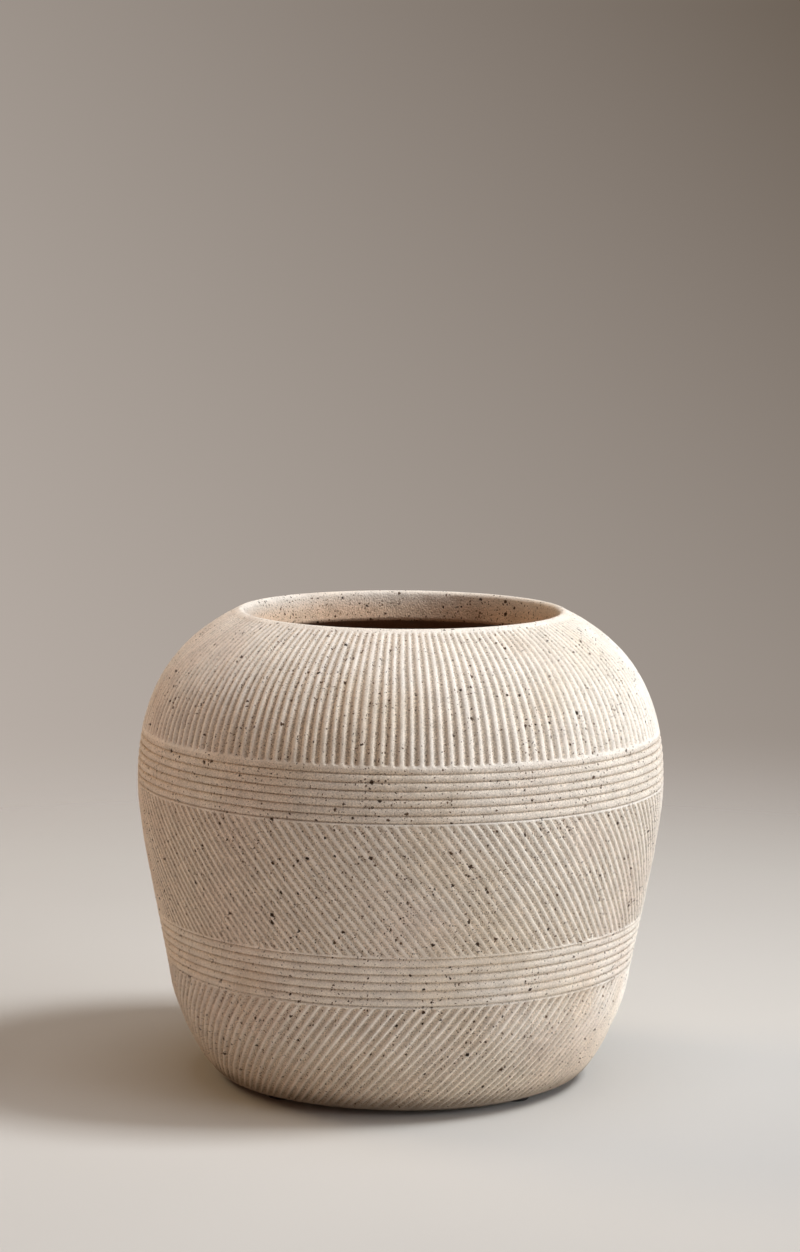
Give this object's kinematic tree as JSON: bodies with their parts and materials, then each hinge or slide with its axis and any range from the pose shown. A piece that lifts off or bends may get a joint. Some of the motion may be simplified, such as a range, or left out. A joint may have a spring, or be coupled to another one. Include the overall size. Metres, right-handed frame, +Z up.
{
  "type": "planter",
  "caption": "Round thick-walled stoneware planter with combed flutes and ring bands, a stoppered drain hole, a loose drain screen and foot pads.",
  "frame": {"origin": "on the ground, under the middle of the pot, at the undersides of the foot pads", "axes": "+Z up along the pot's axis; the front of the picture faces -Y"},
  "size_m": [0.2504, 0.2504, 0.2228],
  "materials": {
    "clay": "unglazed, speckled, combed",
    "plug": "matte silicone",
    "screen": "moulded mesh",
    "pad": "matte"
  },
  "bodies": {
    "pot": {"pot_body": "clay", "foot_pad_1": "pad", "foot_pad_2": "pad", "foot_pad_3": "pad", "foot_pad_4": "pad"},
    "plug": {"drain_plug": "plug"},
    "screen": {"drain_screen": "screen"}
  },
  "joints": [
    {"name": "plug_pull", "type": "slide", "parent": "pot", "child": "plug", "axis": [0, 0, -1], "range_m": [0, 0.02]},
    {"name": "screen_lift", "type": "slide", "parent": "pot", "child": "screen", "axis": [0, 0, 1], "range_m": [0, 0.22]}
  ]
}
